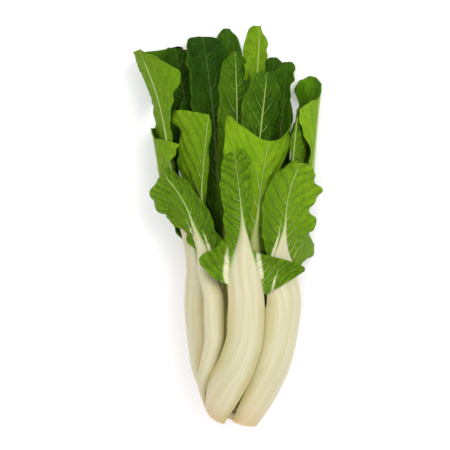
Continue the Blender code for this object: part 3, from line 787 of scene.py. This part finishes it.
stalk_finish = Finish(
    "stalk_flesh", Roughness=0.42, Subsurface_Weight=0.2, Subsurface_Scale=0.004, Specular_IOR_Level=0.35
)
mix, tint, step = stalk_finish.mix, stalk_finish.tint, stalk_finish.step
along, to_edge, yellowness = stalk_finish.parts("place")
centimetres = stalk_finish.node("ShaderNodeUVMap", {"uv_map": "leaf"})
bands = stalk_finish.noise(stalk_finish.stretched(centimetres, *BAND_SCALES), 1, 3.0)
threads = stalk_finish.noise(stalk_finish.stretched(centimetres, *THREAD_SCALES), 1, 3.0)
clouds = stalk_finish.noise(stalk_finish.stretched(centimetres, *CLOUD_SCALES), 1.2, 3.0)
near_base = step(BASE_LENGTH - along + (clouds - 0.5) * 0.3, 0.0, 0.4)
near_cut = step(TAN_LENGTH - along + (clouds - 0.5) * 0.1, 0.0, TAN_LENGTH)
# Painted shade along each stalk's edges, where it meets the next stalk, fading out by the neck.
seam_shade = step(to_edge + 0.3 * (clouds - 0.5), 0.55, 1.0) * (1 - step(along, 0.75, 1.05))
green_edge = step(to_edge, 0.8, 1.0) * step(along, 0.95, 1.1)
green_tip = step(along + 0.4 * yellowness, 1.18, 1.6)
on_cut = 1 - step(along, 0.002, 0.02)
cream = mix(step(bands, 0.3, 0.7), *STALK_CREAMS)
cream = tint(cream, step(threads, 0.5, 0.75), *THREAD)
cream = tint(cream, near_base, *STALK_BASE)
cream = tint(cream, near_cut, *TAN_NEAR_CUT)
cream = tint(cream, seam_shade, *OLIVE_SEAM_SHADE)
cream = tint(cream, yellowness, *YELLOW_HEART)
cream = tint(cream, green_edge.at_least(green_tip), *GREEN_NECK)
cream = tint(cream, on_cut, *CUT_FACE)
stalk_finish.set("Base Color", cream)
stalk_finish.set("Roughness", 0.36 + 0.16 * bands)
stalk_finish.bump(threads + bands, 0.0002)

for whorl, yellowness_of_whorl in YELLOWNESS:
    for leaf in LEAVES:
        if leaf.whorl is whorl:
            add_stalk(leaf, stalk_finish, yellowness_of_whorl)

# The blades
# The green part of each leaf is a soft sheet, quilted between its veins and waved at its margin. Its
# back is paler and satin, with raised veins, and the side towards the heart is darker.
BLADE_LINES = 120
BLADE_ACROSS = 73
VEIN_SPACING = 14.0  # at which a vein's width is in mm; it narrows with the spacing
VEIN_SLANT = 2.5, 1.2  # at the foot and at the tip
VEIN_BEND = 0.007
NET_SPACING = 5.5  # mm between the cross veins
NET_SHIFT = 0.37  # of the cross veins from one side vein to the next, as a share of their spacing
RUFFLE_LENGTH = 17  # mm from one ruffle to the next
CLEAR_OF_RIB = 5  # mm beside the midrib, over which the quilting comes in
PILLOW_LEVEL = 0.4  # the height of a cell's pillow that lies in the plain sheet
VEIN_HALF = 0.8, 1.6  # a raised vein's half width in mm, and what it gains towards its foot at the midrib
VEIN_HEIGHT = 0.3, 1.0
ROWS_TO_ENDS = 0.4  # the share of the rows that gathers at the foot and at the tip

# The random swells, each as its height, its size in mm and its own seed.
TOOTH_SWELLS = [(0.016, 11, 100), (0.006, 5, 130)]  # of the margin, as shares of the half width
VEIN_SWELLS = [(0.26, 42, 0), (0.07, 18, 20)]  # of the veins, as shares of their spacing
NET_SWELL = 0.3, 13, 200  # of the cross veins, likewise
BROAD_SWELL = 1.5, 30, 300  # of the sheet towards its margin, in mm
SMALL_SWELL = 0.45, 9, 500
RUFFLE_SWELL = 2, 40, 400  # of the ruffles, in radians
VEIN_SHIFT = 0.3  # of the veins on each side of the midrib, opposite ways
RUFFLE_SHIFT = 3  # of the ruffles likewise, in radians


@dataclass
class Surface:
    """How deep a blade's quilting is, how much its margin ruffles, and how light it is, back and front.
    Its back lightens by rise towards its tip, and by tilt towards its side of greater bearings; the tilt
    is painted light on that side and painted shade on the other. Its side veins stand spacing apart, in
    mm, and steep is how much they turn towards the tip. Its inner side darkens by fall from foot to tip:
    painted light on its lower part and painted shade towards its tip."""

    quilt: float = 1.1
    ruffle: float = 1.0
    back: float = 0.55
    front: float = 0.3
    rise: float = 0.0
    tilt: float = 0.0
    spacing: float = 14.0
    steep: float = 1.0
    fall: float = 0.0


SURFACES = {
    "front_centre": Surface(quilt=1.8, ruffle=1.8, back=0.46, front=0.4, spacing=8.5, steep=0.6),
    "front_right": Surface(
        quilt=1.2, ruffle=1.6, back=0.48, front=0.4, rise=0.35, tilt=-0.22, spacing=11.5
    ),
    "front_left": Surface(quilt=1.6, ruffle=2.0, back=0.4, front=0.5, rise=0.1, tilt=0.25, spacing=11.0),
    "left": Surface(quilt=0.8, back=0.58, front=0.6, rise=0.1, tilt=0.05, spacing=16.0, steep=1.3),
    "low_left": Surface(quilt=0.8, ruffle=1.4, back=0.74, rise=0.1),
    "back_left": Surface(front=0.1),
    "back_right": Surface(front=0.15),
    "right": Surface(quilt=0.8, back=0.85, front=1.0, rise=0.3, spacing=16.0, steep=1.3),
    "second_front": Surface(quilt=0.7, back=0.68, rise=0.45, tilt=0.12, spacing=17.0, steep=1.3),
    "second_left": Surface(
        quilt=1.0, ruffle=1.2, back=0.36, front=0.2, rise=0.5, tilt=0.2, spacing=13.0, steep=1.1
    ),
    "second_low_left": Surface(back=0.46, front=0.5, fall=1.2),
    "second_low_right": Surface(quilt=1.6, back=0.32, front=0.4, spacing=8.0, steep=0.6),
    "second_back_right": Surface(back=0.45, front=0.35),
    "heart_right": Surface(quilt=0.9, back=0.5, front=0.8, rise=0.3),
    "heart_front": Surface(quilt=1.0, back=0.0, front=0.24, tilt=0.1),
    "heart_left": Surface(quilt=1.0, back=0.06, front=0.06, tilt=0.1),
    "heart_back": Surface(front=0.6, fall=1.6),
}


@dataclass
class Fork:
    """A small white branch of a stalk, which runs out on the blade. In mm."""

    side: int  # of the midrib: 1 is towards greater bearings
    start: float  # how far up the blade it leaves the stalk
    end: float
    stand_off: float  # how far its tip stands off the stalk
    half: float  # its half width at its foot


FORKS = {
    "front_centre": [
        Fork(1, 8, 42, 7, 2.6),
        Fork(1, -10, 14, 5, 1.6),
        Fork(-1, 10, 52, 8, 2.6),
        Fork(-1, -16, 28, 19, 1.5),
    ],
    "front_left": [Fork(1, 14, 56, 6, 2.4), Fork(-1, 8, 46, 6, 2.4)],
    "front_right": [Fork(1, 4, 62, 5, 2.0)],
}
FORK_RELIEF = 1.3
FORK_START = -1.0  # from the stalk's edge, in mm

# From dark to light.
BACK_GREENS = linear(32, 70, 0), linear(128, 166, 20)
HEART_SIDE_GREENS = linear(24, 56, 0), linear(92, 144, 6)
BACK_VEINS = linear(150, 196, 46), linear(156, 196, 42)
FORK_COLOURS = linear(158, 188, 92), linear(222, 216, 184)

# On the back and on the side towards the heart: patches, then painted crease shade and painted cell light.
PATCHES = linear(98, 150, 0), linear(52, 104, 0)
CREASE_SHADES = linear(30, 74, 0), linear(18, 46, 0)
LIT_CELLS = linear(124, 168, 30), linear(70, 122, 0)

HEART_SIDE_VEIN = linear(106, 152, 48)
VEIN_FOOT = linear(226, 230, 184)
MIDRIB = linear(196, 214, 132)
MOTTLE = linear(30, 74, 0)
# Painted shade in the hollows along the cross veins.
HOLLOW_SHADE = linear(26, 66, 0), 0.11  # a tone, and how much of it shows at the most
# A painted highlight along each blade's margin.
MARGIN_HIGHLIGHT = linear(116, 162, 14), 0.2
CELL_LIGHT_SHARE = 0.13
CREASE_SHADE_SHARE, CREASE_SHADE_MOST = 0.26, 0.5
SPLIT_FROM = 0.28  # how far across the blade its side veins begin to split in two
SPLIT = 0.5  # how far they part, as a share of their spacing

# Half widths of what is drawn along the side veins, in mm at VEIN_SPACING.
SIDE_VEIN_HALF = 0.35, 0.45, 2.6  # at the margin, what it gains at the midrib, and at the midrib's foot
SPLIT_VEIN_HALF = 0.5
CREASE_SHADE_HALF = 4.4
CELL_EDGE = 5.0

# How many cells or swells of each pattern there are to a cm.
FINE_VEIN_SCALE = 4.5
FADING_SCALE = 0.9
PATCH_SCALE = 0.55
MOTTLE_SCALE = 2.6
GRAIN_SCALE = 26


def fork_strength(leaf, w, v, rib):
    """1 along the middle of each white fork of a leaf, and 0 beside it."""
    strength = np.zeros_like(w)
    for fork in FORKS.get(leaf.name, []):
        t = np.clip((v - fork.start) / (fork.end - fork.start), 0, 1)
        middle = fork.side * (rib + FORK_START + (fork.stand_off - FORK_START) * t)
        narrowing = fork.half * (1 - t) ** 0.6 + 0.01
        here = np.clip(1.5 - np.abs(w - middle) / narrowing, 0, 1) * (v > fork.start) * (1 - t * t)
        strength = np.maximum(strength, here)
    return strength


def add_blade(leaf, finish):
    seed = LEAVES.index(leaf)
    surface = SURFACES.get(leaf.name, Surface())
    t = np.linspace(0, 1, BLADE_LINES)
    t = (1 - ROWS_TO_ENDS) * t + ROWS_TO_ENDS * (0.5 - 0.5 * np.cos(math.pi * t))
    along = BLADE_FOOT + (BLADE_TIP - BLADE_FOOT) * t
    s, c = np.meshgrid(along, np.linspace(-1, 1, BLADE_ACROSS), indexing="ij")
    side = np.sign(c)
    across = np.abs(c)
    v = (s - BLADE_FOOT) * (leaf.ends[1] - leaf.ends[0])
    teeth = sum(share * wander(v, 40 * side, size, seed + own) for share, size, own in TOOTH_SWELLS)
    w = c * (blade_half(leaf, s, side) * (1 + teeth))
    rib = stalk_width(leaf, s)
    up = (s - BLADE_FOOT) / (2 - BLADE_FOOT)

    slant = surface.steep * (VEIN_SLANT[0] + (VEIN_SLANT[1] - VEIN_SLANT[0]) * np.sqrt(up))
    vein = (v - slant * np.abs(w) - VEIN_BEND * w * w) / surface.spacing
    for share, size, own in VEIN_SWELLS:
        vein = vein + share * wander(w, v, size, seed + own)
    vein = vein + VEIN_SHIFT * side
    share, size, own = NET_SWELL
    cell = np.abs(w) / NET_SPACING + share * wander(w, v, size, seed + own)
    from_vein = 2 * np.abs(vein - np.round(vein))
    shifted = cell + NET_SHIFT * np.round(vein)
    from_net = 2 * np.abs(shifted - np.round(shifted))

    pillow = np.sqrt(from_vein) * (0.55 + 0.45 * np.sqrt(from_net))
    clear = ease(np.clip((np.abs(w) - rib) / CLEAR_OF_RIB, 0, 1))
    height, size, own = BROAD_SWELL
    swell = height * wander(w, v, size, seed + own) * across
    height, size, own = SMALL_SWELL
    swell = swell + height * wander(w, v, size, seed + own)
    turn, size, own = RUFFLE_SWELL
    turns = 2 * math.pi * v / RUFFLE_LENGTH + turn * wander(v, 0 * v, size, seed + own)
    turns = turns + RUFFLE_SHIFT * side
    ruffle = surface.ruffle * across**4 * np.sin(turns)
    offset = clear * (swell + ruffle - surface.quilt * (pillow - PILLOW_LEVEL) * (1 - across**8))
    foot = (1 - across) * (1 - up) ** 2
    vein_half = VEIN_HALF[0] + VEIN_HALF[1] * foot
    height = VEIN_HEIGHT[0] + VEIN_HEIGHT[1] * foot
    ridge = height * clear * np.exp(-((from_vein * VEIN_SPACING / 2 / vein_half) ** 2)) * (1 - across**3)
    fork = fork_strength(leaf, w, v, rib)

    normal = outwards(leaf, s, w)
    inner = leaf_place(leaf, s, w) + normal * offset[..., None]
    outer = inner + normal * (SHEET_THICKNESS + ridge + FORK_RELIEF * fork)[..., None]
    # The tilt paints light on one side of the back and shade on the other.
    back = np.clip(surface.back + surface.rise * (up - 0.3) + surface.tilt * c, 0, 1)
    # The fall paints light on the inner side's lower part and shade towards its tip.
    front = np.clip(surface.front + surface.fall * (0.5 - up), 0, 1)
    attributes = {
        "place": [up, back, front],
        "veins": [vein, across, np.abs(w) / rib],
        "net": [cell, np.full_like(s, surface.quilt), fork],
    }
    centimetres = np.stack([w, v], axis=-1) / 10
    piece = add_sheet(leaf.name + "_blade", inner, outer, finish, centimetres, attributes)
    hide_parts("blade_" + leaf.name)


blade_finish = Finish(
    "leaf_blade", Roughness=0.5, Subsurface_Weight=0.06, Subsurface_Scale=0.002, Specular_IOR_Level=0.08
)
mix, tint, step, noise = blade_finish.mix, blade_finish.tint, blade_finish.step, blade_finish.noise
up, back_tone, heart_side_tone = blade_finish.parts("place")
vein, across, from_rib = blade_finish.parts("veins")
cell, quilt, white = blade_finish.parts("net")
heart_side = blade_finish.parts("heart_side")[0]
centimetres = blade_finish.node("ShaderNodeUVMap", {"uv_map": "leaf"})


def line(phase, width):
    """1 on the lines where phase is a whole number, and 0 beyond width in mm from them."""
    away = abs((phase + 0.5).math("FRACT") - 0.5) * VEIN_SPACING
    return 1 - step(away, width * 0.35, width)


# Where the veins are, and how strongly each shows.
near_rib = 1 - across
low_down = (1 - up) * (1 - up)
near_foot = near_rib * near_rib * low_down
at_margin, at_rib, at_foot = SIDE_VEIN_HALF
side_vein = line(vein, at_margin + at_rib * near_rib + at_foot * near_foot)
split = SPLIT * step(across, SPLIT_FROM, 1.0)
split_width = SPLIT_VEIN_HALF * (1.1 - across)
split_vein = line(vein - split, split_width).at_least(line(vein + split, split_width))
shifted = cell + NET_SHIFT * (vein + 0.5).math("FLOOR")
from_cross = abs((shifted + 0.5).math("FRACT") - 0.5) * NET_SPACING
cross_vein = 1 - step(from_cross, 0.12, 0.45)
cells = {"Vector": centimetres, "Scale": FINE_VEIN_SCALE, "Randomness": 1.0}
from_fine = blade_finish.node("ShaderNodeTexVoronoi", {"feature": "DISTANCE_TO_EDGE"}, cells)
fine_vein = 1 - step(from_fine, 0.02, 0.09)
seen = step(noise(centimetres, FADING_SCALE, 2.0), 0.3, 0.62)
strength = (side_vein * (0.45 + 0.55 * seen)).at_least(split_vein * 0.45 * seen)
strength = strength.at_least(cross_vein * 0.3).at_least(fine_vein * 0.22)

# The green, from its broad tones down to its veins.
patches = noise(centimetres, PATCH_SCALE, 3.0)
mottle = noise(centimetres, MOTTLE_SCALE, 4.0)
grain = noise(centimetres, GRAIN_SCALE, 2.0)
green = mix(heart_side, mix(back_tone, *BACK_GREENS), mix(heart_side_tone, *HEART_SIDE_GREENS))
green = mix(step(patches, 0.35, 0.7) * (0.15 + 0.55 * back_tone), green, mix(heart_side, *PATCHES))
green = mix(step(mottle, 0.42, 0.72) * (0.24 * quilt - 0.04), green, MOTTLE)
# Painted highlight: lighter green along the blade's margin.
green = tint(green, step(across, 0.86, 1.0), *MARGIN_HIGHLIGHT)
# Painted shade in the crease beside each side vein, deeper where the quilting is deeper.
crease_shade = line(vein + 0.1, CREASE_SHADE_HALF) * (1 - near_rib * low_down) * (0.35 + 0.9 * mottle)
crease_shade = (crease_shade * quilt * quilt * 0.8 * CREASE_SHADE_SHARE).at_most(CREASE_SHADE_MOST)
green = mix(crease_shade, green, mix(heart_side, *CREASE_SHADES))
# Painted shade in the hollows along the cross veins, less of it near the midrib.
hollow_shade = (1 - step(from_cross, 0.3, 1.6)) * (1 - near_rib * near_rib)
green = tint(green, hollow_shade * quilt, *HOLLOW_SHADE)
# Painted light on the middles of the quilted cells, clear of the cross and side veins.
lit_cell = step(from_cross, 1.4, 2.6) * (1 - line(vein, CELL_EDGE))
green = tint(green, lit_cell * quilt, mix(heart_side, *LIT_CELLS), CELL_LIGHT_SHARE)
vein_colour = mix(heart_side, mix(back_tone, *BACK_VEINS), HEART_SIDE_VEIN)
vein_share = strength * (0.3 + 0.22 * quilt - 0.1 * heart_side) * (1 - 0.4 * low_down)
green = mix(vein_share, green, vein_colour)
green = mix(side_vein * near_foot**0.7, green, VEIN_FOOT)
green = mix(step(white, 0.1, 0.7) * (1 - heart_side), green, mix(step(white, 0.2, 0.9), *FORK_COLOURS))
on_rib = 1 - step(from_rib + 0.4 * heart_side, 0.75, 1.15)
green = mix(on_rib * (0.9 - 0.6 * up) * (1 - 0.35 * heart_side), green, MIDRIB)
blade_finish.set("Base Color", green)
blade_finish.set("Roughness", 0.46 + 0.16 * mottle - 0.05 * strength)
blade_finish.bump(strength * (1 - 2 * heart_side) + 0.35 * grain + 0.5 * mottle, 0.0012)

for leaf in LEAVES:
    add_blade(leaf, blade_finish)

# The light and the camera
# Soft studio light from all round, with a broad lamp at the right and a fill nearly overhead, and a
# camera straight above.
CAMERA_LENS = 85
CAMERA_PLACE = -0.00177, -0.00224, 0.954
SKY_COLOUR = linear(252, 251, 255)
SKY_STRENGTH = 0.9


def add_lamp(name, place, size, power):
    """A square lamp that shines at the head. In metres and watts."""
    light = bpy.data.lights.new(name, "AREA")
    light.size = size
    light.energy = power
    lamp = bpy.data.objects.new(name, light)
    lamp.location = place
    lamp.rotation_euler = (-Vector(place)).to_track_quat("-Z", "Y").to_euler()
    bpy.context.scene.collection.objects.link(lamp)


sky = bpy.data.worlds.new("studio")
bpy.context.scene.world = sky
sky.use_nodes = True
sky.node_tree.nodes["Background"].inputs["Color"].default_value = SKY_COLOUR
sky.node_tree.nodes["Background"].inputs["Strength"].default_value = SKY_STRENGTH
add_lamp("window", (0.6, 0.45, 1.2), size=0.8, power=8)
add_lamp("fill", (-0.25, -0.1, 1.45), size=0.6, power=5.5)

lens = bpy.data.cameras.new("camera")
lens.lens = CAMERA_LENS
camera = bpy.data.objects.new("camera", lens)
camera.location = CAMERA_PLACE
bpy.context.scene.collection.objects.link(camera)
bpy.context.scene.camera = camera
bpy.context.scene.view_settings.view_transform = "Standard"
